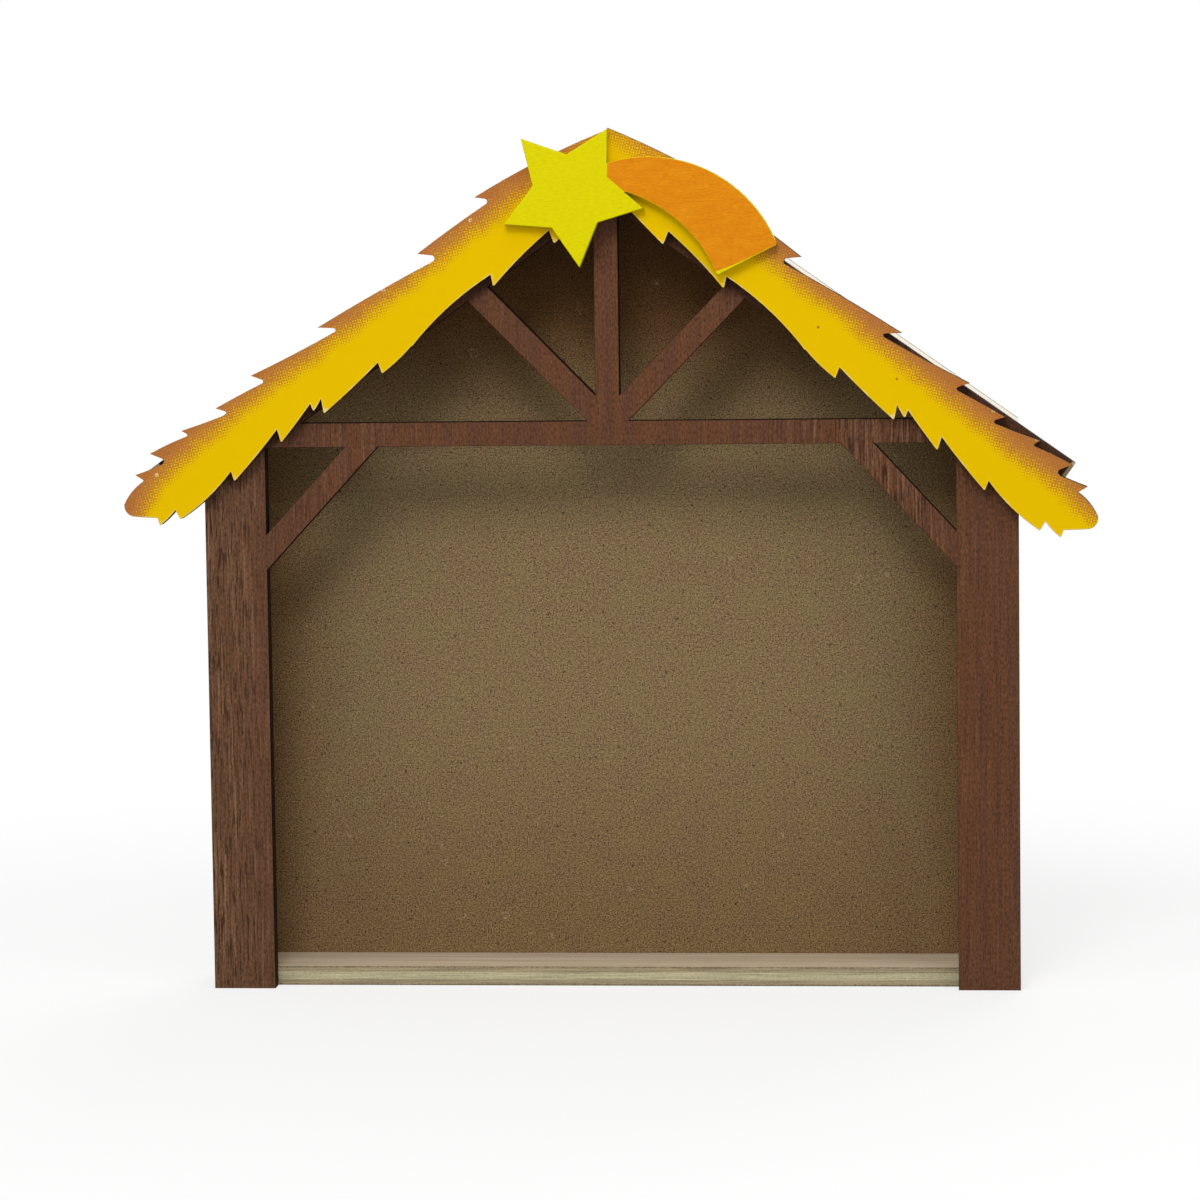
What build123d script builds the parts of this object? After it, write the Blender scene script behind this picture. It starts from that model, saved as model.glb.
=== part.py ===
from build123d import *
import os
from math import atan2, cos, degrees, radians, sin, tan

os.makedirs("parts", exist_ok=True)

# A nativity stable cut from thin sheet and glued up. A pierced truss front stands before a shallow
# carcass of strips and a back panel. Two mirrored halves of thatch trim run down the gable, and a
# comet covers their seam. X runs across the front, Y from front to back, and the floor is Z = 0.

# Overall sizes
stable_width = 204.0  # over the outer faces of the posts
ridge_height = 214.1  # floor to the point of the gable
roof_pitch = 35.25  # degrees from level
carcass_depth = 20.0  # width of the base, wall and roof strips

# Sheet thicknesses
frame_sheet = 5.0
strip_sheet = 5.0
back_sheet = 3.0
thatch_sheet = 4.0
comet_sheet = 3.0

# Pierced front frame
post_width = 15.5
rafter_width = 13.0  # square to the slope
tail_overhang = 14.0  # level run of a rafter past its post
bar_width = 6.0  # tie beam, king post, struts and knee braces
tie_height = 137.5  # floor to the underside of the tie beam
strut_pitch = 45.7  # degrees from level
strut_sink = 1.0  # a strut's centre line starts this far below the top of the tie beam
brace_drop = 26.4  # foot of a knee brace below the tie beam
brace_reach = 24.4  # head of a knee brace in from its post

# Thatch trim, two mirrored halves laid along the slopes
thatch_overhang = 11.4  # past the end of the rafter tail
thatch_inner_run = 8.0  # past the ridge, before the seam is trimmed
left_slip = -1.1  # each half is glued on this far down the slope
left_lift = 1.9  # and this far above the roof line
left_droop = 0.35  # turn about the ridge, in degrees
right_slip = 1.7
right_lift = 3.8
right_droop = 2.58  # in degrees
seam_shift = 0.9  # the seam lies behind the star, beside the centre line
seam_gap = 0.3
tip_round = 0.3  # lower tips, rounded off by the cutter

# Upper teeth from the ridge down: the tip's distance up the slope from the eave end and its height over
# the slope line, the hook back to the notch along the slope and down, the rounding of the notch, and the
# outward bulge of the edge that leads to the tip
upper_teeth = (
    (117.7, 4.9, 3.2, 3.1, 0.7, 1.2),
    (97.9, 2.1, 4.6, 4.2, 0.8, 0.2),
    (66.8, 2.2, 4.5, 3.6, 0.5, 0.3),
    (46.0, 2.5, 2.3, 3.4, 0.5, -0.25),
    (33.9, 1.2, 2.3, 3.1, 0.5, 0.1),
    (23.5, 1.8, 1.0, 2.1, 0.4, -0.1),
    (13.6, 1.9, 2.7, 4.3, 0.8, 0.2),
    (7.4, -0.2, 1.0, 2.5, 0.3, -0.15),
)
ridge_edge = (-3.3, -10.3)  # upper and lower edge at the inner end

# Rounded eave end: heights of the start of the nose, of its far point and of its lower end
nose_heights = (-4.5, -6.5, -8.2)
nose_depth = 0.7  # the nose bulges past its ends
nose_bulges = (0.6, 0.05)  # of the upper and lower edge beside the nose

# Lower teeth from the eave back to the ridge: the notch's distance from the eave end and its height, the
# drop to the tip along the slope and down, and the bulge of the edge to the next notch
lower_teeth = (
    (5.5, -12.2, 0.7, 1.9, 0.2),
    (10.3, -13.3, 0.3, 2.6, 0.8),
    (27.5, -13.8, 0.7, 2.5, 0.2),
    (43.3, -12.2, 1.2, 3.3, 0.1),
    (53.9, -12.0, 0.5, 2.0, 0.1),
    (56.8, -12.6, 1.6, 3.4, 0.2),
    (73.8, -13.8, 0.8, 2.8, 0.3),
    (83.2, -15.4, 0.1, 0.2, -1.1),
    (109.6, -12.9, 1.3, 2.8, -0.4),
    (127.8, -12.7, 0.9, 3.4, 0.25),
)

# Comet: a five-pointed star with a curved tail
star_points = 5
star_radius = 18.3
star_waist = 9.7  # radius of the inner corners
star_turn = 59.9  # degrees from level to the tip nearest the ridge
star_shift = -7.8  # centre of the star from the centre line
star_drop = 14.0  # centre of the star below the ridge
tail_outer = ((9.2, 7.5), (33.2, 5.7), (50.8, -13.1))  # start, middle and end from the star's centre
tail_inner = ((35.9, -20.5), (26.5, -7.1), (13.7, 0.2))
tail_round = 0.6  # end corners of the tail
comet_ease = 0.25  # sanded front edges

# Worked-out places
half_width = stable_width / 2
half_depth = (comet_sheet + thatch_sheet + frame_sheet + carcass_depth + back_sheet) / 2
back_plane = Plane.XZ.offset(-half_depth)
carcass_plane = back_plane.offset(back_sheet)
frame_plane = carcass_plane.offset(carcass_depth)
thatch_plane = frame_plane.offset(frame_sheet)
comet_plane = thatch_plane.offset(thatch_sheet)
slope = tan(radians(roof_pitch))
roof_plumb = strip_sheet / cos(radians(roof_pitch))
rafter_plumb = rafter_width / cos(radians(roof_pitch))
tie_top = tie_height + bar_width
tail_reach = half_width + tail_overhang
thatch_length = tail_reach / cos(radians(roof_pitch)) + thatch_overhang


def roof_line(x):
    return ridge_height - abs(x) * slope


def bar(start, end):
    run = Vector(end) - Vector(start)
    with Locations((Vector(start) + Vector(end)) / 2):
        Rectangle(run.length, bar_width, rotation=degrees(atan2(run.Y, run.X)))


def outline(*corners):
    Polygon(*corners, align=None)


def round_corner(sketch, spot, radius):
    fillet(min(sketch.vertices(), key=lambda corner: (Vector(corner) - Vector(spot)).length), radius)


# Front frame, one sheet with the triangles and the doorway cut out
tail_corner = Vector(tail_reach, roof_line(tail_reach))
tail_cut = Vector(-sin(radians(roof_pitch)), -cos(radians(roof_pitch))) * rafter_width
tail_heel = tail_corner + tail_cut
post_inner = half_width - post_width
strut_foot = Vector(0, tie_top - strut_sink)
strut_slope = tan(radians(strut_pitch))
strut_reach = (ridge_height - rafter_plumb / 2 - strut_foot.Y) / (strut_slope + slope)
strut_head = Vector(strut_reach, roof_line(strut_reach) - rafter_plumb / 2)
brace_run = Vector(-brace_reach, brace_drop)
brace_middle = Vector(post_inner - brace_reach / 2, tie_height - brace_drop / 2)
brace_half = brace_run / 2 * (1 + bar_width / brace_drop)

with BuildPart() as front_frame:
    with BuildSketch(frame_plane):
        outline((0, ridge_height), tail_corner, tail_heel, (0, ridge_height - rafter_plumb))
        outline(
            (post_inner, 0),
            (half_width, 0),
            (half_width, roof_line(half_width)),
            (post_inner, roof_line(half_width)),
        )
        bar(strut_foot, strut_head)
        bar(brace_middle - brace_half, brace_middle + brace_half)
        mirror(about=Plane.YZ)
        bar((-post_inner, tie_height + bar_width / 2), (post_inner, tie_height + bar_width / 2))
        bar((0, tie_height), (0, ridge_height - rafter_plumb / 2))
    extrude(amount=frame_sheet)
front_frame.part.label = "front_frame"
export_step(front_frame.part, "parts/front_frame.step")


# Carcass strips between the front frame and the back panel
with BuildPart() as base_board:
    with BuildSketch(carcass_plane):
        outline(
            (-half_width, 0), (half_width, 0), (half_width, strip_sheet), (-half_width, strip_sheet)
        )
    extrude(amount=carcass_depth)
base_board.part.label = "base_board"
export_step(base_board.part, "parts/base_board.step")

for side, hand in (("left", -1), ("right", 1)):
    wall_outer = hand * half_width
    wall_inner = hand * (half_width - strip_sheet)

    # The wall stands on the base, and its top is bevelled to the roof
    with BuildPart() as side_wall:
        with BuildSketch(carcass_plane):
            outline(
                (wall_inner, strip_sheet),
                (wall_outer, strip_sheet),
                (wall_outer, roof_line(wall_outer) - roof_plumb),
                (wall_inner, roof_line(wall_inner) - roof_plumb),
            )
        extrude(amount=carcass_depth)
    side_wall.part.label = f"side_wall_{side}"
    export_step(side_wall.part, f"parts/side_wall_{side}.step")

    # The roof board is cut plumb at the ridge and flush with the wall at the eave
    with BuildPart() as roof_board:
        with BuildSketch(carcass_plane):
            outline(
                (0, ridge_height),
                (wall_outer, roof_line(wall_outer)),
                (wall_outer, roof_line(wall_outer) - roof_plumb),
                (0, ridge_height - roof_plumb),
            )
        extrude(amount=carcass_depth)
    roof_board.part.label = f"roof_board_{side}"
    export_step(roof_board.part, f"parts/roof_board_{side}.step")

with BuildPart() as back_panel:
    with BuildSketch(back_plane):
        outline(
            (-half_width, 0),
            (half_width, 0),
            (half_width, roof_line(half_width)),
            (0, ridge_height),
            (-half_width, roof_line(half_width)),
        )
    extrude(amount=back_sheet)
back_panel.part.label = "back_panel"
export_step(back_panel.part, "parts/back_panel.step")


# Thatch trim: one saw-toothed outline, in along-slope and out-of-slope distances
def thatch_outline(trim):
    rounded = []
    with BuildLine() as edge:
        start = Vector(-thatch_inner_run, ridge_edge[0])
        notch = start
        for from_eave, height, hook_back, hook_down, notch_round, bulge in upper_teeth:
            tip = Vector(thatch_length - from_eave, height)
            SagittaArc(notch, tip, bulge)
            notch = tip - Vector(hook_back, hook_down)
            Line(tip, notch)
            rounded.append((notch, notch_round))
        nose_x = thatch_length - nose_depth
        nose_start = Vector(nose_x, nose_heights[0])
        nose_end = Vector(nose_x, nose_heights[2])
        SagittaArc(notch, nose_start, nose_bulges[0])
        ThreePointArc(nose_start, (thatch_length, nose_heights[1]), nose_end)
        edge_start, bulge = nose_end, nose_bulges[1]
        for from_eave, height, tip_run, tip_drop, next_bulge in lower_teeth:
            notch = Vector(thatch_length - from_eave, height)
            SagittaArc(edge_start, notch, bulge)
            edge_start, bulge = notch + Vector(tip_run, -tip_drop), next_bulge
            Line(notch, edge_start)
            if tip_drop > tip_round:
                rounded.append((edge_start, tip_round))
        end = Vector(-thatch_inner_run, ridge_edge[1])
        SagittaArc(edge_start, end, bulge)
        Line(end, start)
    make_face(edge.edges())
    for spot, radius in rounded:
        round_corner(trim, spot, radius)


def slope_plane(hand, slip, lift, droop):
    down = radians(roof_pitch)
    along = Vector(hand * cos(down), 0, -sin(down))
    out = Vector(hand * sin(down), 0, cos(down))
    ridge = thatch_plane.origin + Vector(0, 0, ridge_height) + along * slip + out * lift
    turned = radians(roof_pitch + droop)
    return Plane(
        origin=ridge, x_dir=(hand * cos(turned), 0, -sin(turned)), z_dir=(0, -hand, 0)
    )


with BuildPart() as thatch_left:
    with BuildSketch(slope_plane(-1, left_slip, left_lift, left_droop)) as left_trim:
        thatch_outline(left_trim)
    extrude(amount=-thatch_sheet)
    split(bisect_by=Plane.YZ.offset(seam_shift - seam_gap / 2), keep=Keep.BOTTOM)
thatch_left.part.label = "thatch_left"
export_step(thatch_left.part, "parts/thatch_left.step")

with BuildPart() as thatch_right:
    with BuildSketch(slope_plane(1, right_slip, right_lift, right_droop)) as right_trim:
        thatch_outline(right_trim)
    extrude(amount=thatch_sheet)
    split(bisect_by=Plane.YZ.offset(seam_shift + seam_gap / 2), keep=Keep.TOP)
thatch_right.part.label = "thatch_right"
export_step(thatch_right.part, "parts/thatch_right.step")


# Comet over the seam, star and tail cut as one piece
star_step = 360 / star_points
star_corners = []
for point in range(star_points):
    tip_angle = radians(star_turn + point * star_step)
    waist_angle = tip_angle + radians(star_step / 2)
    star_corners.append((star_radius * cos(tip_angle), star_radius * sin(tip_angle)))
    star_corners.append((star_waist * cos(waist_angle), star_waist * sin(waist_angle)))
star_centre = comet_plane.from_local_coords((star_shift, ridge_height - star_drop))

with BuildPart() as comet:
    with BuildSketch(Plane(star_centre, x_dir=comet_plane.x_dir, z_dir=comet_plane.z_dir)) as comet_outline:
        outline(*star_corners)
        with BuildLine():
            Line((0, 0), tail_outer[0])
            ThreePointArc(*tail_outer)
            Line(tail_outer[2], tail_inner[0])
            ThreePointArc(*tail_inner)
            Line(tail_inner[2], (0, 0))
        make_face()
        round_corner(comet_outline, tail_outer[2], tail_round)
        round_corner(comet_outline, tail_inner[0], tail_round)
    extrude(amount=comet_sheet)
    chamfer(comet.faces().sort_by(Axis.Y)[0].edges(), comet_ease)
comet.part.label = "comet"
export_step(comet.part, "parts/comet.step")
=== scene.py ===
import math
import bpy
import numpy as np
from mathutils import Matrix, Vector
from mathutils.geometry import delaunay_2d_cdt


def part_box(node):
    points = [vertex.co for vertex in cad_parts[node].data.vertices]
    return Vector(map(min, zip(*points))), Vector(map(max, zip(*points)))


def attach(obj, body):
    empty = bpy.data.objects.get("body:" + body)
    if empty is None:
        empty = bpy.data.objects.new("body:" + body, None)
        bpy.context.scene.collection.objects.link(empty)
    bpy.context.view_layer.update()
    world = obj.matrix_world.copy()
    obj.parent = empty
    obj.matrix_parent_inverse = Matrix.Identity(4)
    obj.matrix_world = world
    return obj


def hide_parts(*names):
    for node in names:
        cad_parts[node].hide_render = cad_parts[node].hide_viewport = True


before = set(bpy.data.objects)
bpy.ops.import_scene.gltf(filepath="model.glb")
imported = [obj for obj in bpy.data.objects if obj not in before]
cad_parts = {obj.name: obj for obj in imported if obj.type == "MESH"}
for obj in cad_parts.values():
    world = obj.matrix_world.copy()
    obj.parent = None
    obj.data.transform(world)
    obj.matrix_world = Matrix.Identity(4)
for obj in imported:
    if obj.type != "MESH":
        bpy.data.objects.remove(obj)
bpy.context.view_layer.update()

mm = 0.001
roofPitch = math.radians(35.25)
gable = {"level": math.cos(roofPitch), "upright": math.sin(roofPitch), "ridge": 214.1, "width": 204.0}
print("frame loaded:", len(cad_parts), "nodes")


class Wire:
    # one output socket of a node tree; arithmetic on it adds Math nodes
    def __init__(self, tree, socket=None):
        self.tree = tree
        self.socket = socket

    def node(self, kind, settings=None, inputs=None, output=0):
        made = self.tree.nodes.new(kind)
        for key, value in (settings or {}).items():
            if key == "stops":
                fillRamp(made.color_ramp, value)
            else:
                setattr(made, key, value)
        for key, value in (inputs or {}).items():
            if isinstance(value, Wire):
                self.tree.links.new(value.socket, made.inputs[key])
            else:
                made.inputs[key].default_value = value
        return Wire(self.tree, made.outputs[output]) if len(made.outputs) else None

    def maths(self, operation, *values):
        return self.node("ShaderNodeMath", {"operation": operation}, dict(enumerate(values)))

    def __add__(self, other):
        return self.maths("ADD", self, other)

    def __sub__(self, other):
        return self.maths("SUBTRACT", self, other)

    def __rsub__(self, other):
        return self.maths("SUBTRACT", other, self)

    def __mul__(self, other):
        return self.maths("MULTIPLY", self, other)

    def __truediv__(self, other):
        return self.maths("DIVIDE", self, other)

    def __rtruediv__(self, other):
        return self.maths("DIVIDE", other, self)

    def __neg__(self):
        return self.maths("MULTIPLY", self, -1.0)

    def __abs__(self):
        return self.maths("ABSOLUTE", self)

    __radd__ = __add__
    __rmul__ = __mul__


def fillRamp(ramp, stops):
    while len(ramp.elements) < len(stops):
        ramp.elements.new(1.0)
    for element, (place, level) in zip(ramp.elements, stops):
        element.position = place
        element.color = (level, level, level, 1.0)


def paint(red, green, blue):
    # a colour as read on a screen, 0 to 255, turned into linear light by the usual screen curve
    shade = np.array((red, green, blue)) / 255
    light = np.where(shade <= 0.04045, shade / 12.92, ((shade + 0.055) / 1.055) ** 2.4)
    return (*light.tolist(), 1.0)


def newLook(name):
    look = bpy.data.materials.new(name)
    look.use_nodes = True
    look.node_tree.nodes.clear()
    return look, Wire(look.node_tree)


def closeLook(wire, sockets):
    shader = wire.node("ShaderNodeBsdfPrincipled", {}, sockets)
    wire.node("ShaderNodeOutputMaterial", {}, {"Surface": shader})


def read(wire, *names):
    return [wire.node("ShaderNodeAttribute", {"attribute_name": name}, output="Fac") for name in names]


def noise(spot, scales, seed=None, detail=2.0, rough=0.5, warp=0.0):
    # noise over two or three lengths, each times its own scale; a seed stands in for the third
    scaled = [length * scale for length, scale in zip(spot, scales)]
    if seed is not None:
        scaled.append(seed)
    where = spot[0].node("ShaderNodeCombineXYZ", {}, dict(enumerate(scaled)))
    return where.node("ShaderNodeTexNoise", {}, {
        "Vector": where, "Scale": 1.0, "Detail": detail, "Roughness": rough, "Distortion": warp})


def swing(value, depth):
    # noise lies about a half; this lies about nought, as deep as asked
    return (value - 0.5) * depth


def ease(value, low, high):
    # smooth step from nought at the low value to one at the high value
    return value.node("ShaderNodeMapRange", {"interpolation_type": "SMOOTHSTEP"},
                      {0: value, 1: low, 2: high, 3: 0.0, 4: 1.0})


def onFront(layer):
    # one on the front face of a sheet and nought on the back, for sheets with layer 0 in front
    return 1 - ease(layer, 0.3, 0.7)


def blend(share, first, second):
    # inputs 0, 6 and 7 of a Mix node are the share and two colours, and output 2 is a colour
    return share.node("ShaderNodeMix", {"data_type": "RGBA", "blend_type": "MIX"},
                      {0: share, 6: first, 7: second}, output=2)


def ramp(value, stops):
    return value.node("ShaderNodeValToRGB", {"stops": stops}, {0: value})


def shaded(body, factor):
    # a colour made lighter or darker by a number near one
    return body.node("ShaderNodeVectorMath", {"operation": "SCALE"}, {0: body, 3: factor})


def cells(x, y, jitter=1.0):
    # distance to the nearest of a field of scattered dots, one dot to a unit square
    spot = x.node("ShaderNodeCombineXYZ", {}, {0: x, 1: y})
    return spot.node("ShaderNodeTexVoronoi", {"voronoi_dimensions": "2D"},
                     {"Vector": spot, "Scale": 1.0, "Randomness": jitter}, "Distance")


def around(run, rise, spots, size, core=0.3):
    # one near a few chosen spots, each given as run and rise, and nought elsewhere; the core is the
    # share of the squared size that is solid
    share = None
    for spotRun, spotRise in spots:
        away = (run - spotRun) * (run - spotRun) + (rise - spotRise) * (rise - spotRise)
        here = 1 - ease(away, core * size * size, size * size)
        share = here if share is None else share.maths("MAXIMUM", share, here)
    return share


def bump(height, depth):
    return height.node("ShaderNodeBump", {}, {"Height": height, "Distance": depth * mm, "Strength": 1.0})


# Sheets, cut along the outline of their CAD node. A cut dictionary has the arris and the spacing of the
# mesh in mm, the directions through the sheet and along its run, and the origin of run and rise.
cutting = {
    "weldStep": 2e-6,      # corners nearer than this are one, in metres
    "sharpestTip": 0.05, "longestMitre": 2.6,      # both hold a mitre short at a sharp tip
    "leastArris": 0.12, "triedArrises": (0.25, 0.35, 0.5, 0.7, 1.0),      # shares of the full arris
    "clearShare": 0.6, "shortEdgeShare": 0.8,      # room that an arris needs
    "rowStep": 0.866, "rimStep": 0.45,      # of the spacing: row to row, grid to rim
    "joinStep": 1e-5, "sliver": 1e-7,      # mm when joining, metres off the rim
    "batch": 1500,      # spots worked out at a time
    "edgeOn": 0.5,      # the normal of a cut edge has less than this through the sheet
}


def cornerLoops(node):
    # Edges met by one triangle only are the outline of the node's flat back face. The walk round a
    # loop doubles each step: the known stretch, then the same stretch moved on by its own length.
    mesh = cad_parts[node].data
    mesh.calc_loop_triangles()
    co = np.empty(len(mesh.vertices) * 3, np.float32)
    mesh.vertices.foreach_get("co", co)
    tri = np.empty(len(mesh.loop_triangles) * 3, np.int32)
    mesh.loop_triangles.foreach_get("vertices", tri)
    steps = np.rint(co.reshape(-1, 3).astype(float) / cutting["weldStep"]).astype(np.int64)
    spots, same = np.unique(steps, axis=0, return_inverse=True)
    tri = same.ravel()[tri].reshape(-1, 3)
    tri = tri[(spots[tri, 1] == spots[:, 1].max()).all(axis=1)]
    ends = np.concatenate((tri[:, :2], tri[:, 1:], tri[:, ::-2]))
    count = len(spots)
    ends = ends[~np.isin(ends @ (count, 1), ends @ (1, count))]
    following = np.arange(count)
    following[ends[:, 1]] = ends[:, 0]      # turned round, so that the sheet lies on the left
    loops, waiting = [], ends[:, 0]
    while len(waiting):
        path, jump = waiting[:1], following
        while (path[1:] != path[0]).all():
            path, jump = np.concatenate((path, jump[path])), jump[jump]
        path = path[:np.flatnonzero(path[1:] == path[0])[0] + 1]
        loops.append(spots[path][:, (0, 2)] * cutting["weldStep"])
        waiting = waiting[~np.isin(waiting, path)]
    return loops


def edgeDistance(spots, starts, ends):
    # nearest distance to a set of straight edges, and whether an even-odd count puts a spot inside
    near, inside = [], []
    for some in np.array_split(spots, max(1, len(spots) // cutting["batch"])):
        run = (ends - starts)[None]
        away = some[:, None] - starts[None]
        along = np.clip((away * run).sum(axis=2) / (run * run).sum(axis=2), 0, 1)
        near.append(np.linalg.norm(away - along[..., None] * run, axis=2).min(axis=1))
        spans = (starts[None, :, 1] > some[:, None, 1]) != (ends[None, :, 1] > some[:, None, 1])
        rise = np.where(run[..., 1] == 0, 1, run[..., 1])
        crossed = spans & (away[..., 0] < run[..., 0] * away[..., 1] / rise)
        inside.append(crossed.sum(axis=1) % 2 == 1)
    return np.concatenate(near), np.concatenate(inside)


def insetWays(corners):
    # mitre at each corner: the sum of the two edge normals over one plus their dot product, held short
    # at the sharpest tips
    run = np.roll(corners, -1, axis=0) - corners
    run /= np.linalg.norm(run, axis=1, keepdims=True)
    normal = np.stack((-run[:, 1], run[:, 0]), axis=1)
    before = np.roll(normal, 1, axis=0)
    spread = 1 + (before * normal).sum(axis=1, keepdims=True)
    way = (before + normal) / np.maximum(spread, cutting["sharpestTip"])
    length = np.linalg.norm(way, axis=1, keepdims=True)
    return way * np.minimum(1.0, cutting["longestMitre"] / length)


def insetRoom(corners, ways, arris, starts, ends):
    # share of the arris that fits at each corner: less in a narrow tip and beside a short edge
    edge = np.linalg.norm(np.roll(corners, -1, axis=0) - corners, axis=1)
    short = np.minimum(edge, np.roll(edge, 1)) / np.linalg.norm(ways, axis=1)
    share = np.full(len(corners), cutting["leastArris"])
    for tried in cutting["triedArrises"]:
        near, inside = edgeDistance(corners + ways * (arris * tried), starts, ends)
        share = np.where(inside & (near > arris * tried * cutting["clearShare"]), tried, share)
    return np.minimum(share, cutting["shortEdgeShare"] * short / arris)


def edgeProfile(thick, cut):
    # from the back face round the back arris, across the cut edge and round the front arris, where
    # inset = r(1 - cos a) and depth = r(1 - sin a)
    arris = cut["arris"] * mm
    turn = np.linspace(0, math.pi / 2, cut["arrisSteps"] + 1)
    inset = arris * (1 - np.cos(turn))
    depth = arris * (1 - np.sin(turn))
    return np.concatenate((inset[::-1], inset)), np.concatenate((thick - depth[::-1], depth))


def carryProfile(loops, starts, ends, inset, cut):
    # rows of samples along the loops: corners moved in along their mitres by each inset, and the edges
    # between them split evenly; also the number of the sample that follows each one
    rings, following, first = [], [], 0
    for corners in loops:
        ways = insetWays(corners)
        ways *= insetRoom(corners, ways, cut["arris"] * mm, starts, ends)[:, None]
        lengths = np.linalg.norm(np.roll(corners, -1, axis=0) - corners, axis=1)
        parts = np.maximum(1, np.rint(lengths / (cut["spacing"] * mm))).astype(int)
        edge = np.repeat(np.arange(len(corners)), parts)
        share = np.arange(len(edge)) - np.repeat(np.cumsum(parts) - parts, parts)
        share = (share / parts[edge])[None, :, None]
        shifted = corners[None] + inset[:, None, None] * ways[None]
        rings.append(shifted[:, edge] * (1 - share) + np.roll(shifted, -1, axis=1)[:, edge] * share)
        following.append(first + np.roll(np.arange(len(edge)), -1))
        first += len(edge)
    return np.concatenate(rings, axis=1), np.concatenate(following)


def flatFace(rim, following, starts, ends, low, high, cut):
    # an even grid of spots inside the rim, which is the innermost ring, and triangles that join both
    gap = cut["spacing"] * mm
    across = np.arange(low.x, high.x, gap)
    up = np.arange(low.z, high.z, gap * cutting["rowStep"])
    gridX, gridZ = np.meshgrid(across, up)
    gridX[1::2] += gap / 2
    grid = np.stack((gridX.ravel(), gridZ.ravel()), axis=1)
    near, inside = edgeDistance(grid, starts, ends)
    keep = inside & (near > cut["arris"] * mm + gap * cutting["rimStep"])
    grid, near = grid[keep], near[keep]
    flat = np.concatenate((rim, grid))
    rimEdges = np.stack((np.arange(len(rim)), following), axis=1)
    enclosed = 2      # the output type that keeps only what the rim encloses
    out = delaunay_2d_cdt((flat / mm).tolist(), rimEdges.tolist(), [], enclosed, cutting["joinStep"])
    source = np.array([orig[0] for orig in out[3]])
    tri = source[np.array(out[2])]
    offRim, inside = edgeDistance(flat[tri].mean(axis=1), rim, rim[following])
    return grid, near, tri[inside | (offRim < cutting["sliver"])]     # holes go, slivers on the rim stay


def cutSheet(name, node, look, cut):
    # the edge profile carried along each loop of the outline, closed by two flat faces
    low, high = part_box(node)
    loops = cornerLoops(node)
    starts = np.concatenate(loops)
    ends = np.concatenate([np.roll(corners, -1, axis=0) for corners in loops])
    inset, depth = edgeProfile(high.y - low.y, cut)
    ring, following = carryProfile(loops, starts, ends, inset, cut)
    grid, near, tri = flatFace(ring[-1], following, starts, ends, low, high, cut)

    rows, samples = ring.shape[:2]
    levels = np.broadcast_to((low.y + depth)[:, None], (rows, samples))
    wall = np.stack((ring[..., 0], levels, ring[..., 1]), axis=2).reshape(-1, 3)
    front = np.stack((grid[:, 0], np.full(len(grid), low.y), grid[:, 1]), axis=1)
    back = np.stack((grid[:, 0], np.full(len(grid), high.y), grid[:, 1]), axis=1)
    spots = np.concatenate((wall, front, back))
    here = (np.arange(rows - 1)[:, None] * samples + np.arange(samples)).ravel()
    there = (np.arange(rows - 1)[:, None] * samples + following).ravel()
    quads = np.stack((here, there, there + samples, here + samples), axis=1)
    frontTri = tri + (rows - 1) * samples
    backTri = np.where(tri < samples, tri, frontTri + len(grid))[:, ::-1]
    mesh = bpy.data.meshes.new(name)
    mesh.from_pydata(spots.tolist(), [], quads.tolist() + frontTri.tolist() + backTri.tolist())
    mesh.update()

    # what the looks read: mm from the rim, mm along the run and square to it, 0 to 1 through the
    # sheet, and 1 on the cut edges
    through = np.array(cut["through"], float)
    along = np.array(cut["along"], float)
    local = (spots - np.array(cut["origin"]) * mm) / mm
    layer = local @ through
    floats = {
        "rim": np.concatenate((np.repeat(inset, samples), near, near)) / mm,
        "run": local @ along,
        "rise": local @ np.cross(through, along),
        "layer": (layer - layer.min()) / (layer.max() - layer.min()),
    }
    for key, values in floats.items():
        mesh.attributes.new(key, "FLOAT", "POINT").data.foreach_set("value", values.astype(np.float32))
    normals = np.empty(len(mesh.polygons) * 3, np.float32)
    mesh.polygons.foreach_get("normal", normals)
    sawn = np.abs(normals.reshape(-1, 3) @ through) < cutting["edgeOn"]
    mesh.attributes.new("cut", "FLOAT", "FACE").data.foreach_set("value", sawn.astype(np.float32))

    mesh.materials.append(look)
    piece = bpy.data.objects.new(name, mesh)
    bpy.context.collection.objects.link(piece)
    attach(piece, "root")
    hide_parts(node)
    print(name, "made:", len(spots), "points,", len(mesh.polygons), "faces")


# In the settings of the looks a span holds the low and high value of an ease, a share is how far a
# colour is blended in, and a depth is how far noise swings. Lengths are in mm.

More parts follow.
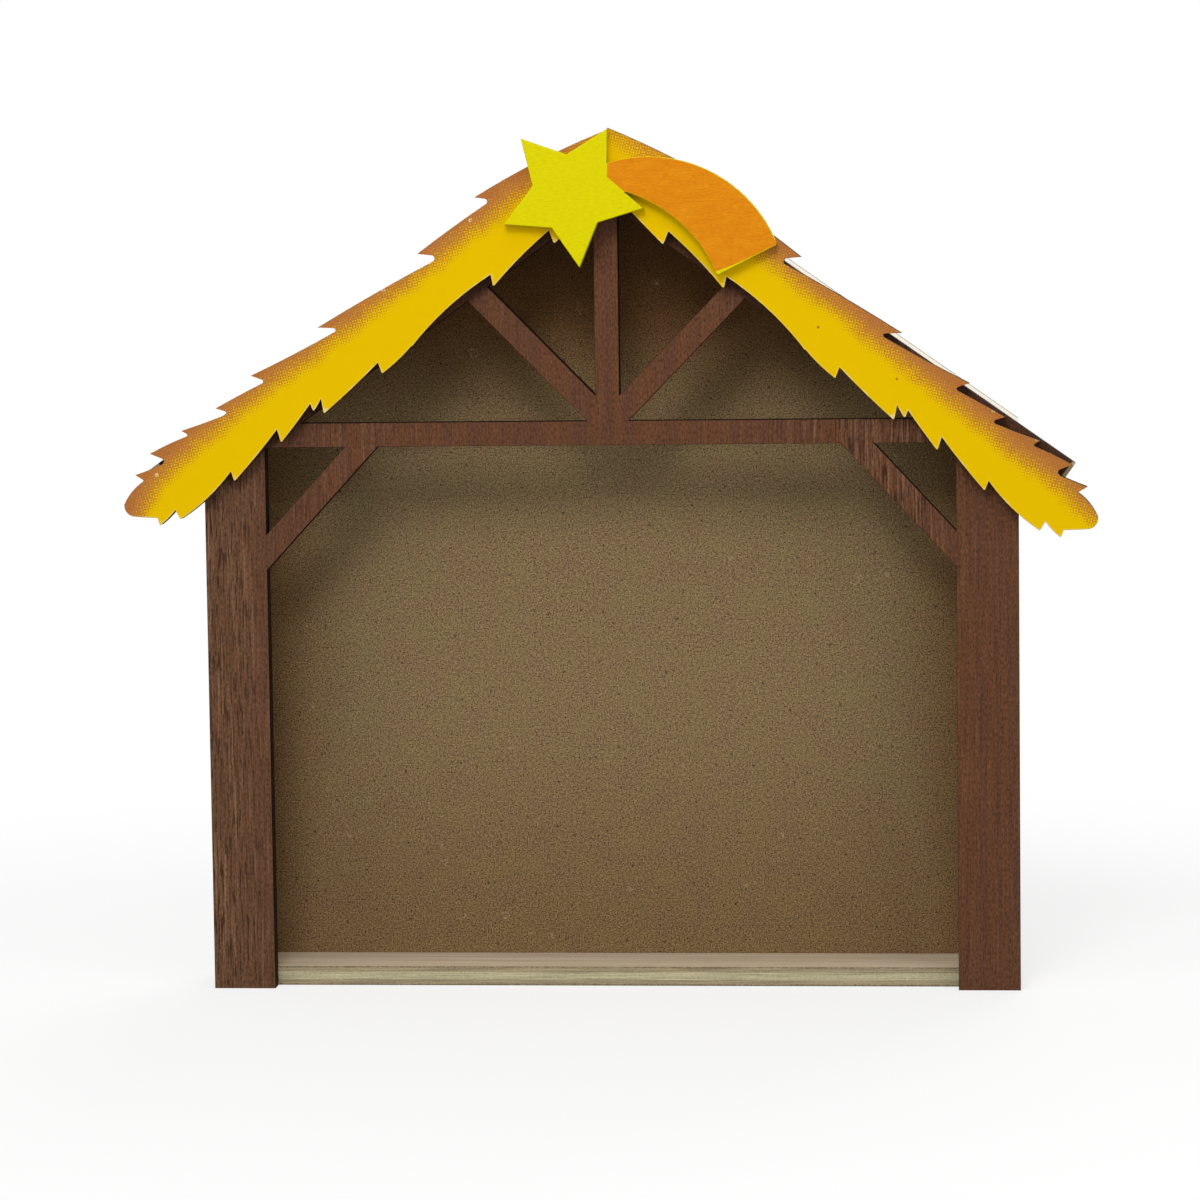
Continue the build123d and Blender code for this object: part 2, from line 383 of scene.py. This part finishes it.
# front frame: stained veneer with the grain upright, and scorched cut edges
frontCut = {
    "arris": 0.12, "arrisSteps": 2, "spacing": 1.2,
    "through": (0, 1, 0), "along": (0, 0, 1), "origin": (0, 0, 0),
}
veneer = {
    "mauve": paint(90, 58, 43), "russet": paint(97, 62, 40), "umber": paint(98, 68, 48),
    "tan": paint(142, 108, 80), "pore": paint(44, 28, 20), "bare": paint(196, 168, 128),
    "scorch": paint(22, 13, 9), "scorchBand": paint(40, 26, 18),
    # noise across and along the grain
    "bands": {"scales": (0.34, 0.005), "seed": 3.0, "detail": 3.0, "rough": 0.55},
    "fibre": {"scales": (2.3, 0.05), "seed": 8.0, "detail": 3.0, "rough": 0.65},
    "grit": {"scales": (2.4, 1.0), "seed": 5.0, "detail": 2.0, "rough": 0.6},
    "pores": {"scales": (2.3, 0.15), "seed": 15.0, "detail": 1.0, "rough": 0.5},
    "streaks": {"scales": (1.1, 0.025), "seed": 21.0, "detail": 2.0, "rough": 0.6},
    # how coarse the grain is, from the left post at 0 to the right post at 1
    "coarse": ((0.0, 0.9), (0.045, 0.75), (0.075, 0.25), (0.12, 0.3), (0.2, 0.4), (0.3, 0.12),
               (0.5, 0.04), (0.68, 0.15), (0.76, 0.75), (0.88, 0.9), (0.915, 0.2), (1.0, 0.1)),
    "bandSpan": (0.36, 0.64), "umberSpan": (0.02, 0.12), "streakSpan": (0.5, 0.68), "streakShare": 0.5,
    "fibreDepth": 1.0, "fibreCoarse": 0.9, "gritDepth": 2.0,
    "poreSpan": (0.54, 0.64), "poreShare": 0.04, "poreCoarse": 0.8,
    # painted shade along the rafters under the thatch: how dark, and over which distance to the roof
    # line
    "rafterShade": 0.65, "rafterShadeSpan": (12.5, 14.5),
    "wornLeft": 3.0, "wornRight": 0.85, "middleSpan": (-1.0, 1.0), "wornRagged": 0.8,
    "wornSpan": (141.85, 142.15), "tailSpan": (103.0, 104.0),
    "plySpan": (0.2, 0.26), "haloSpan": (0.02, 0.2), "haloShare": 0.35,
    "roughness": 0.6, "poreRough": 0.2, "cutRough": 0.2, "specular": 0.06,
    "fibreHeight": 0.5, "relief": 0.05,
}


def stainedVeneer():
    look, wire = newLook("stainedVeneer")
    run, rise, layer, rim, cut = read(wire, "run", "rise", "layer", "rim", "cut")
    bands, fibre, grit, pores, streaks = (
        noise((rise, run), **veneer[key]) for key in ("bands", "fibre", "grit", "pores", "streaks"))
    place = rise / gable["width"] + 0.5
    coarse = ramp(place, veneer["coarse"])
    body = blend(ease(bands, *veneer["bandSpan"]), veneer["mauve"], veneer["russet"])
    body = blend(1 - ease(place, *veneer["umberSpan"]), body, veneer["umber"])
    streakMask = ease(streaks, *veneer["streakSpan"]) * coarse
    body = blend(streakMask * veneer["streakShare"], body, veneer["tan"])
    fibreDepth = veneer["fibreDepth"] + coarse * veneer["fibreCoarse"]
    body = shaded(body, 1 + swing(fibre, fibreDepth) + swing(grit, veneer["gritDepth"]))
    poreMask = ease(pores, *veneer["poreSpan"]) * (coarse * veneer["poreCoarse"] + veneer["poreShare"])
    body = blend(poreMask, body, veneer["pore"])

    # painted shade along the rafters, where the thatch shades them, by the distance square to the roof
    # line
    underRoof = (gable["ridge"] - run) * gable["level"] - abs(rise) * gable["upright"]
    outOfRafterShade = ease(underRoof, *veneer["rafterShadeSpan"])
    body = shaded(body, veneer["rafterShade"] + outOfRafterShade * (1 - veneer["rafterShade"]))

    # bare wood at the worn ends of the rafters, on the front only
    downSlope = abs(rise) * gable["level"] + (gable["ridge"] - run) * gable["upright"]
    onLeft = 1 - ease(rise, *veneer["middleSpan"])
    worn = veneer["wornRight"] + onLeft * (veneer["wornLeft"] - veneer["wornRight"])
    chipped = ease(downSlope + worn + swing(grit, veneer["wornRagged"]), *veneer["wornSpan"])
    body = blend(chipped * ease(abs(rise), *veneer["tailSpan"]) * onFront(layer), body, veneer["bare"])

    # burnt cut edges, with a paler middle ply, and a thin halo beside them
    scorched = blend(ease(abs(layer - 0.5), *veneer["plySpan"]), veneer["scorchBand"], veneer["scorch"])
    halo = (1 - ease(rim, *veneer["haloSpan"])) * veneer["haloShare"]
    body = blend(halo, body, veneer["scorch"])
    body = blend(cut, body, scorched)
    closeLook(wire, {
        "Base Color": body, "Specular IOR Level": veneer["specular"],
        "Roughness": veneer["roughness"] + poreMask * veneer["poreRough"] + cut * veneer["cutRough"],
        "Normal": bump(fibre * veneer["fibreHeight"] - poreMask, veneer["relief"])})
    return look


cutSheet("frontFrame", "front_frame", stainedVeneer(), frontCut)


# back panel: flecked brown hardboard
backCut = {
    "arris": 0.2, "arrisSteps": 2, "spacing": 6.0,
    "through": (0, 1, 0), "along": (0, 0, 1), "origin": (0, 0, 0),
}
hardboard = {
    "reddish": paint(129, 107, 77), "olive": paint(124, 106, 73), "fleck": paint(42, 30, 18),
    # the second colour on the line below is painted shade, for the sides, the foot and the gable
    "fibre": paint(168, 148, 112), "sooty": paint(95, 66, 37),
    "patches": {"scales": (0.13, 0.13), "seed": 2.0, "detail": 2.0},
    "mottle": {"scales": (1.2, 1.2), "seed": 5.0, "detail": 3.0, "rough": 0.7},
    "grit": {"scales": (2.9, 2.9), "seed": 9.0, "detail": 1.0},
    "strands": {"scales": (0.22, 0.22), "seed": 31.0, "detail": 1.0, "warp": 1.2},
    "sparse": {"scales": (0.16, 0.16), "seed": 41.0, "detail": 1.0},
    "patchSpan": (0.35, 0.65), "patchDepth": 0.35, "mottleDepth": 1.2, "gritDepth": 3.3,
    # spans and shares of the painted shade at the sides, the foot and the gable
    "sideSpan": (66.0, 90.0), "sideShare": 0.62, "footSpan": (4.0, 75.0), "footShare": 0.4,
    "gableSpan": (134.0, 174.0),
    "fleckScales": (0.15, 0.14), "fleckRagged": 0.12, "fleckSpan": (0.025, 0.05), "fleckShare": 0.62,
    "strandSpan": (0.004, 0.014), "sparseSpan": (0.66, 0.7), "strandShare": 0.5, "cutShare": 0.5,
    "roughness": 0.72, "fleckRough": 0.1, "specular": 0.06, "fleckHeight": 0.5, "relief": 0.04,
}


def fleckedBoard():
    look, wire = newLook("fleckedBoard")
    run, rise, layer, cut = read(wire, "run", "rise", "layer", "cut")
    patches, mottle, grit, strands, sparse = (
        noise((rise, run), **hardboard[key])
        for key in ("patches", "mottle", "grit", "strands", "sparse"))
    body = blend(ease(patches, *hardboard["patchSpan"]), hardboard["reddish"], hardboard["olive"])

    # painted shade, darker towards the sides by the walls, towards the foot and in the gable under the
    # roof, on the front only
    sides = ease(abs(rise), *hardboard["sideSpan"]) * hardboard["sideShare"]
    foot = (1 - ease(run, *hardboard["footSpan"])) * hardboard["footShare"]
    edges = wire.maths("MAXIMUM", sides, foot)
    sooty = wire.maths("MAXIMUM", ease(run, *hardboard["gableSpan"]), edges)
    body = blend(sooty * onFront(layer), body, hardboard["sooty"])
    body = shaded(body, 1 + swing(mottle, hardboard["mottleDepth"]) + swing(grit, hardboard["gritDepth"])
                  + swing(patches, hardboard["patchDepth"]))

    # scattered dark flecks, and a few pale fibres
    acrossScale, upScale = hardboard["fleckScales"]
    ragged = cells(rise * acrossScale, run * upScale) + swing(mottle, hardboard["fleckRagged"])
    fleckMask = 1 - ease(ragged, *hardboard["fleckSpan"])
    body = blend(fleckMask * hardboard["fleckShare"], body, hardboard["fleck"])
    strandMask = 1 - ease(abs(strands - 0.5), *hardboard["strandSpan"])
    strandMask = strandMask * ease(sparse, *hardboard["sparseSpan"])
    body = blend(strandMask * hardboard["strandShare"], body, hardboard["fibre"])
    body = blend(cut * hardboard["cutShare"], body, hardboard["fleck"])
    closeLook(wire, {
        "Base Color": body, "Roughness": hardboard["roughness"] + fleckMask * hardboard["fleckRough"],
        "Specular IOR Level": hardboard["specular"],
        "Normal": bump(mottle - fleckMask * hardboard["fleckHeight"], hardboard["relief"])})
    return look


cutSheet("backPanel", "back_panel", fleckedBoard(), backCut)


# carcass strips: bare three-ply, with the plies on the sawn edges; the origins also shift the grain, so
# that no two strips look alike
stripCut = {"arris": 0.25, "arrisSteps": 2, "spacing": 4.0}
stripPlaces = {
    "base_board": {"through": (0, 0, 1), "along": (1, 0, 0), "origin": (0, 0, 0)},
    "side_wall_left": {"through": (-1, 0, 0), "along": (0, 0, 1),
                       "origin": (-gable["width"] / 2, 0, 40)},
    "side_wall_right": {"through": (1, 0, 0), "along": (0, 0, 1),
                        "origin": (gable["width"] / 2, 0, 90)},
    "roof_board_left": {"through": (-gable["upright"], 0, gable["level"]),
                        "along": (-gable["level"], 0, -gable["upright"]),
                        "origin": (0, 0, gable["ridge"])},
    "roof_board_right": {"through": (gable["upright"], 0, gable["level"]),
                         "along": (gable["level"], 0, -gable["upright"]),
                         "origin": (30, 0, gable["ridge"])},
}
# one plywood in two copies: this bright one is painted light, as the roof boards look in full light from
# above
litPly = {
    "name": "litPly", "pale": paint(238, 230, 212), "warm": paint(230, 217, 194),
    "core": paint(206, 192, 150), "outer": paint(196, 178, 146), "glue": paint(112, 90, 64),
    "frontLight": 0.0, "roughness": 0.66,
}
# this darker copy is painted shade, as the base looks in the shade inside the stable
shadedPly = {
    "name": "shadedPly", "pale": paint(198, 183, 160), "warm": paint(178, 159, 133),
    "core": paint(182, 172, 139), "outer": paint(158, 144, 114), "glue": paint(98, 80, 57),
    "frontLight": 0.2, "roughness": 0.7,
}
threePly = {
    "figure": {"scales": (0.015, 0.5), "seed": 4.0, "detail": 3.0, "rough": 0.6, "warp": 0.4},
    "fibre": {"scales": (0.12, 4.0), "seed": 7.0, "detail": 3.0, "rough": 0.6},
    "fuzz": {"scales": (1.6, 9.0, 1.6), "detail": 3.0, "rough": 0.7},
    "lines": {"scales": (0.06, 16.0, 0.06), "detail": 3.0, "rough": 0.6},
    "figureSpan": (0.3, 0.7), "fibreDepth": 0.7, "frontLightSpan": (-5.0, 10.0),
    "coreSpan": (0.17, 0.21), "fuzzDepth": 0.9, "lineDepth": 1.5,
    "tornSlope": 1.8, "tornSpan": (0.32, 0.46), "tornShare": 0.75,
    "cutRough": 0.15, "specular": 0.15, "relief": 0.04,
}


def bareStrip(bareWood):
    look, wire = newLook(bareWood["name"])
    run, rise, layer, cut = read(wire, "run", "rise", "layer", "cut")
    figure, fibre = (noise((run, rise), **threePly[key]) for key in ("figure", "fibre"))
    fuzz, lines = (noise((run, layer, rise), **threePly[key]) for key in ("fuzz", "lines"))
    face = blend(ease(figure, *threePly["figureSpan"]), bareWood["pale"], bareWood["warm"])
    # painted light: the face lighter towards the front, where more light falls on the base top
    frontLit = (1 - ease(rise, *threePly["frontLightSpan"])) * bareWood["frontLight"]
    face = shaded(face, 1 + swing(fibre, threePly["fibreDepth"]) + frontLit)

    # sawn edge: a core between two outer plies, torn and dark towards the faces
    offMiddle = abs(layer - 0.5)
    edge = blend(ease(offMiddle, *threePly["coreSpan"]), bareWood["core"], bareWood["outer"])
    edge = shaded(edge, 1 + swing(fuzz, threePly["fuzzDepth"]) + swing(lines, threePly["lineDepth"]))
    torn = ease(fuzz + (offMiddle - 0.5) * threePly["tornSlope"], *threePly["tornSpan"])
    edge = blend(torn * threePly["tornShare"], edge, bareWood["glue"])
    closeLook(wire, {
        "Base Color": blend(cut, face, edge), "Specular IOR Level": threePly["specular"],
        "Roughness": bareWood["roughness"] + cut * threePly["cutRough"],
        "Normal": bump(fibre + fuzz * cut, threePly["relief"])})
    return look


litPlyLook, shadedPlyLook = bareStrip(litPly), bareStrip(shadedPly)
for node, place in stripPlaces.items():
    words = node.split("_")
    pieceName = words[0] + "".join(word.capitalize() for word in words[1:])
    # the base takes the shaded copy of the ply, all other strips the lit copy
    stripLook = shadedPlyLook if node == "base_board" else litPlyLook
    cutSheet(pieceName, node, stripLook, {**stripCut, **place})


# thatch trim: printed sheet, brown along the roof line and yellow below, in two screens of dots; chips
# and specks are given as run and rise, and the print is half faded at a depth that goes by the run
thatchCut = {"arris": 0.12, "arrisSteps": 2, "spacing": 0.9}
thatchPlaces = {
    "left": {"hand": -1, "pitch": 35.6, "ridge": (-0.198, 0, 216.286), "seed": 2.0, "ridgeShade": 1.0,
             "halfFaded": ((20, 1.6), (42, 1.7), (60, 2.8), (108, 2.9), (122, 3.4), (136, 4.4),
                           (142, 5.2), (148, 8.4), (153, 11.5)),
             "chips": ((141.6, -3.4), (39.9, 1.0), (67.8, 0.0)), "specks": ()},
    "right": {"hand": 1, "pitch": 37.83, "ridge": (3.581, 0, 216.222), "seed": 6.0, "ridgeShade": 0.55,
              "halfFaded": ((20, 3.4), (75, 3.5), (100, 4.0), (122, 4.6), (137, 4.6), (148, 5.3),
                            (153, 5.8)),
              "chips": ((116.2, 0.6), (129.0, 1.6)), "specks": ((69.4, -9.1), (92.6, -7.5))},
}
straw = {
    "yellow": paint(226, 185, 0), "brown": paint(179, 115, 61), "rust": paint(150, 84, 43),
    "scorch": paint(42, 32, 27), "scorchBand": paint(64, 49, 38), "cream": paint(236, 222, 176),
    "bare": paint(198, 172, 134), "orange": paint(218, 128, 32), "olive": paint(170, 138, 24),
    "wander": {"scales": (0.09, 0.0), "detail": 2.0}, "wanderDepth": 3.0,
    "patches": {"scales": (0.3, 0.3), "detail": 2.0}, "patchSeed": 5.0, "patchDepth": 2.5,
    "grain": {"scales": (2.4, 2.4), "seed": 11.0, "detail": 2.0, "rough": 0.6},
    "rubbing": {"scales": (0.2, 0.2), "seed": 17.0},
    "tableSize": (160.0, 12.0), "ridgeSpan": (15.0, 55.0), "fadeSpan": (-4.5, 6.0),
    "screens": (15.0, 75.0), "dotPitch": 0.66, "dotJitter": 0.1, "dotSlope": 2.6,
    "inkGain": 1.08, "inkSpan": (-0.01, 0.15), "blotSpan": (0.1, 0.5), "blotDepth": 1.2,
    "rustSpan": (0.45, 0.75), "rustShare": 0.5, "denseSpan": (0.7, 1.0), "denseShare": 0.25,
    "lowerSpan": (-9.0, -7.0), "rimSpan": (0.1, 0.45),
    "rubbedSpan": (0.5, 0.62), "rubbedRise": 0.45, "rubbedLeast": 0.18, "creamShare": 0.7,
    "chipSize": 0.6, "chipSpan": (0.44, 0.54), "speckSize": 0.45, "speckShare": 0.7,
    "faceSpan": (-0.1, 0.1), "plySpan": (0.18, 0.26),
    "roughness": 0.55, "cutRough": 0.3, "specular": 0.015,
    "inkHeight": 0.15, "grainHeight": 0.3, "relief": 0.03,
}


def inkShare(run, rise, fade, angle):
    # share of one ink: dots on a square screen, turned by an angle in degrees, that swell with the fade
    level, upright = math.cos(math.radians(angle)), math.sin(math.radians(angle))
    dot = cells((run * level + rise * upright) / straw["dotPitch"],
                (rise * level - run * upright) / straw["dotPitch"], straw["dotJitter"])
    return ease(fade * straw["inkGain"] - dot * dot * straw["dotSlope"], *straw["inkSpan"])


def printedStraw(side):
    look, wire = newLook("printedStraw" + side.capitalize())
    place = thatchPlaces[side]
    run, rise, layer, rim, cut = read(wire, "run", "rise", "layer", "rim", "cut")
    wander = noise((run, 0.0), seed=place["seed"], **straw["wander"])
    patches = noise((run, rise), seed=place["seed"] + straw["patchSeed"], **straw["patches"])
    grain, rubbing = (noise((run, rise), **straw[key]) for key in ("grain", "rubbing"))

    # a ramp takes numbers from 0 to 1, so the table is divided by its size and the answer multiplied
    longest, deepest = straw["tableSize"]
    stops = [(at / longest, depth / deepest) for at, depth in place["halfFaded"]]
    halfFaded = ramp(run / longest, stops) * deepest
    ragged = swing(wander, straw["wanderDepth"]) + swing(patches, straw["patchDepth"])
    atRidge = place["ridgeShade"] + ease(run, *straw["ridgeSpan"]) * (1 - place["ridgeShade"])
    fade = ease(rise + halfFaded + ragged, *straw["fadeSpan"]) * atRidge

    # two inks, blotted where the print is strong
    blotted = fade + swing(grain, ease(fade, *straw["blotSpan"])) * straw["blotDepth"]
    red, dark = (inkShare(run, rise, blotted, angle + place["pitch"]) for angle in straw["screens"])
    rusty = ease(grain, *straw["rustSpan"]) * straw["rustShare"]
    rusty = rusty + ease(fade, *straw["denseSpan"]) * straw["denseShare"]
    brown = blend(rusty, straw["brown"], straw["rust"])
    body = blend(dark, blend(red, straw["yellow"], straw["orange"]), blend(red, straw["olive"], brown))

    # cream where the lower edge is rubbed and at the chips, and rust at the specks
    lower = 1 - ease(rise, *straw["lowerSpan"])
    rubbed = ease(rubbing, *straw["rubbedSpan"]) * straw["rubbedRise"] + straw["rubbedLeast"]
    bare = (1 - ease(rim, *straw["rimSpan"])) * rubbed * lower
    chips = around(run, rise, place["chips"], straw["chipSize"]) * ease(grain, *straw["chipSpan"])
    body = blend(wire.maths("MAXIMUM", bare, chips) * straw["creamShare"], body, straw["cream"])
    if place["specks"]:
        specks = around(run, rise, place["specks"], straw["speckSize"])
        body = blend(specks * straw["speckShare"], body, straw["rust"])

    printed = ease((layer - 0.5) * place["hand"], *straw["faceSpan"])     # the front only
    body = blend(printed, straw["bare"], body)
    edge = blend(ease(abs(layer - 0.5), *straw["plySpan"]), straw["scorchBand"], straw["scorch"])
    body = blend(cut, body, edge)
    height = (red + dark) * straw["inkHeight"] + grain * straw["grainHeight"]
    closeLook(wire, {
        "Base Color": body, "Roughness": straw["roughness"] + cut * straw["cutRough"],
        "Specular IOR Level": straw["specular"], "Normal": bump(height, straw["relief"])})
    return look


for side, place in thatchPlaces.items():
    pitch = math.radians(place["pitch"])
    along = (place["hand"] * math.cos(pitch), 0, -math.sin(pitch))
    out = (place["hand"] * math.sin(pitch), 0, math.cos(pitch))
    directions = {"through": tuple(np.cross(along, out)), "along": along, "origin": place["ridge"]}
    cutSheet("thatch" + side.capitalize(), "thatch_" + side, printedStraw(side),
             {**thatchCut, **directions})


# comet: painted plywood, lemon first, then an orange tail that stops short of its lower end
cometCut = {
    "arris": 0.25, "arrisSteps": 3, "spacing": 1.0,
    "through": (0, 1, 0), "along": (1, 0, 0), "origin": (-7.8, 0, 200.1),
}
comet = {
    "lemon": paint(216, 205, 0), "orange": paint(215, 129, 12), "amber": paint(225, 146, 20),
    # olive is painted shade on the cut edges, as the side faces look in shade
    "olive": paint(160, 146, 6),
    "starPoints": 5, "starRadius": 18.3, "starWaist": 9.7, "starTurn": 59.9, "starSpan": (0.1, 0.2),
    "endInner": (35.9, -20.5), "endOuter": (50.8, -13.1), "endShown": (1.0, 0.12),
    "endSpan": (-0.1, 0.15), "rimSpan": (0.05, 0.2), "rimEnd": (0.5, 0.9),
    "grain": {"scales": (0.7, 2.4), "seed": 3.0, "detail": 3.0, "rough": 0.65},
    "tone": {"scales": (0.16, 0.5), "seed": 13.0, "detail": 3.0},
    "toneSpan": (0.35, 0.7), "amberShare": 0.5, "grainDepth": 0.4, "tailDepth": 0.2, "cutShare": 0.3,
    "roughness": 0.5, "grainRough": 0.15, "specular": 0.05, "relief": 0.06,
}


def cometPaint():
    look, wire = newLook("cometPaint")
    run, rise, rim, cut = read(wire, "run", "rise", "rim", "cut")
    grain, tone = (noise((run, rise), **comet[key]) for key in ("grain", "tone"))
    up = -rise

    # star: the angle, kept above nought, is folded onto half a point, where the edge is a straight line
    step = 2 * math.pi / comet["starPoints"]
    turn = math.radians(comet["starTurn"]) - (comet["starPoints"] - 1) * step
    angle = wire.maths("ARCTAN2", up, run) - turn
    folded = abs(wire.maths("MODULO", angle + step / 2, step) - step / 2)
    reach = wire.maths("SQRT", run * run + up * up)
    waistX, waistY = comet["starWaist"] * math.cos(step / 2), comet["starWaist"] * math.sin(step / 2)
    normalX, normalY = waistY, comet["starRadius"] - waistX
    size = math.hypot(normalX, normalY)
    ahead = reach * wire.maths("COSINE", folded)
    aside = reach * wire.maths("SINE", folded)
    outside = ahead * (normalX / size) + aside * (normalY / size) - comet["starRadius"] * normalX / size

    # lower end of the tail: lemon shows in a wedge, wide at the inner corner
    (innerX, innerY), (outerX, outerY) = comet["endInner"], comet["endOuter"]
    length = math.hypot(outerX - innerX, outerY - innerY)
    endX, endY = (outerX - innerX) / length, (outerY - innerY) / length
    toOuter = 1 - ((run - innerX) * endX + (up - innerY) * endY) / length
    above = (up - innerY) * endX - (run - innerX) * endY
    wide, narrow = comet["endShown"]
    shown = narrow + toOuter * toOuter * toOuter * (wide - narrow)
    wedge = ease(above - shown, *comet["endSpan"])
    border = wire.maths("MAXIMUM", ease(rim, *comet["rimSpan"]), 1 - ease(above, *comet["rimEnd"]))
    tail = ease(outside, *comet["starSpan"]) * wedge * border

    orange = blend(ease(tone, *comet["toneSpan"]) * comet["amberShare"], comet["orange"], comet["amber"])
    body = blend(tail, comet["lemon"], orange)
    body = shaded(body, 1 + swing(grain, comet["grainDepth"] + tail * comet["tailDepth"]))
    # painted shade: the cut edges darkened towards olive, as the side faces look in shade
    body = blend(cut * comet["cutShare"], body, comet["olive"])
    closeLook(wire, {
        "Base Color": body, "Roughness": comet["roughness"] + grain * comet["grainRough"],
        "Specular IOR Level": comet["specular"], "Normal": bump(grain, comet["relief"])})
    return look


cutSheet("paintedComet", "comet", cometPaint(), cometCut)


# camera, turned by angles in degrees
shot = {"place": (0.0968, -1.1273, 0.2046), "yaw": 5.08, "pitch": 5.396, "roll": -0.749,
        "lens": 135.0, "sensor": 36.0}


def placeCamera():
    yaw, pitch, roll = (math.radians(shot[key]) for key in ("yaw", "pitch", "roll"))
    ahead = Vector((-math.sin(yaw) * math.cos(pitch), math.cos(yaw) * math.cos(pitch), -math.sin(pitch)))
    right = ahead.cross(Vector((0, 0, 1))).normalized()
    up = right.cross(ahead)
    level, tilt = math.cos(roll), math.sin(roll)
    right, up = right * level + up * tilt, up * level - right * tilt
    lens = bpy.data.cameras.new("camera")
    lens.lens = shot["lens"]
    lens.sensor_width = shot["sensor"]
    camera = bpy.data.objects.new("camera", lens)
    camera.matrix_world = Matrix((
        (right.x, up.x, -ahead.x, shot["place"][0]),
        (right.y, up.y, -ahead.y, shot["place"][1]),
        (right.z, up.z, -ahead.z, shot["place"][2]),
        (0, 0, 0, 1)))
    bpy.context.collection.objects.link(camera)
    bpy.context.scene.camera = camera


# light and floor; each lamp has a name, a place, a size in metres and a power in watts
studio = {
    "lamps": (("key", (-0.12, -0.98, 0.88), 0.42, 6.3), ("top", (0.0, -0.42, 1.25), 0.8, 1.9),
              ("front", (0.1, -1.3, 0.3), 0.6, 1.2), ("back", (0.3, 1.2, 0.7), 0.8, 7.0),
              ("left", (-0.92, -0.72, 0.4), 0.6, 2.6), ("right", (0.92, -0.72, 0.4), 0.6, 2.9)),
    "aim": (0.0, 0.0, 0.1), "worldLevel": 0.36, "white": (1.0, 1.0, 1.0, 1.0), "whiteLevel": 1.0,
    "floorSize": 6.0, "floorColour": (0.4, 0.4, 0.4, 1.0), "paleColour": (0.96, 0.96, 0.96, 1.0),
    "shadowShare": 0.34, "shadowReach": (0.16, 0.4),
}


def whiteForView(wire):
    # one for rays from the camera and for what mirrors and glass show, nought for light on the object
    path = [wire.node("ShaderNodeLightPath", {}, {}, name)
            for name in ("Is Camera Ray", "Is Glossy Ray", "Is Transmission Ray")]
    return wire.maths("MAXIMUM", wire.maths("MAXIMUM", path[0], path[1]), path[2])


def hangLamps():
    for name, place, size, power in studio["lamps"]:
        lamp = bpy.data.lights.new(name, "AREA")
        lamp.size = size
        lamp.energy = power
        light = bpy.data.objects.new(name, lamp)
        light.location = place
        toAim = Vector(studio["aim"]) - Vector(place)
        light.rotation_euler = toAim.to_track_quat("-Z", "Y").to_euler()
        bpy.context.collection.objects.link(light)


def lightWorld():
    world = bpy.data.worlds.new("world")
    world.use_nodes = True
    world.node_tree.nodes.clear()
    bpy.context.scene.world = world
    sky = Wire(world.node_tree)
    level = whiteForView(sky) * (studio["whiteLevel"] - studio["worldLevel"]) + studio["worldLevel"]
    backdrop = sky.node("ShaderNodeBackground", {}, {"Color": studio["white"], "Strength": level})
    sky.node("ShaderNodeOutputWorld", {}, {"Surface": backdrop})


def layFloor():
    # white to the eye, apart from a share of the shadow round the object's foot
    half = studio["floorSize"] / 2
    mesh = bpy.data.meshes.new("floor")
    corners = [(-half, -half, 0), (half, -half, 0), (half, half, 0), (-half, half, 0)]
    mesh.from_pydata(corners, [], [(0, 1, 2, 3)])
    look, wire = newLook("paleFloor")
    spot = wire.node("ShaderNodeTexCoord", {}, {}, "Object")
    far = wire.node("ShaderNodeVectorMath", {"operation": "LENGTH"}, {0: spot}, "Value")
    whiteShare = 1 - (1 - ease(far, *studio["shadowReach"])) * studio["shadowShare"]
    matt = wire.node("ShaderNodeBsdfDiffuse", {}, {"Color": studio["floorColour"]})
    pale = wire.node("ShaderNodeBsdfDiffuse", {}, {"Color": studio["paleColour"]})
    white = wire.node("ShaderNodeEmission", {}, {
        "Color": studio["white"], "Strength": studio["whiteLevel"]})
    shown = wire.node("ShaderNodeMixShader", {}, {0: whiteShare, 1: pale, 2: white})
    mixed = wire.node("ShaderNodeMixShader", {}, {0: whiteForView(wire), 1: matt, 2: shown})
    wire.node("ShaderNodeOutputMaterial", {}, {"Surface": mixed})
    mesh.materials.append(look)
    floor = bpy.data.objects.new("floor", mesh)
    bpy.context.collection.objects.link(floor)


placeCamera()
hangLamps()
lightWorld()
layFloor()
bpy.context.scene.view_settings.view_transform = "Standard"
print("camera, light and floor set")
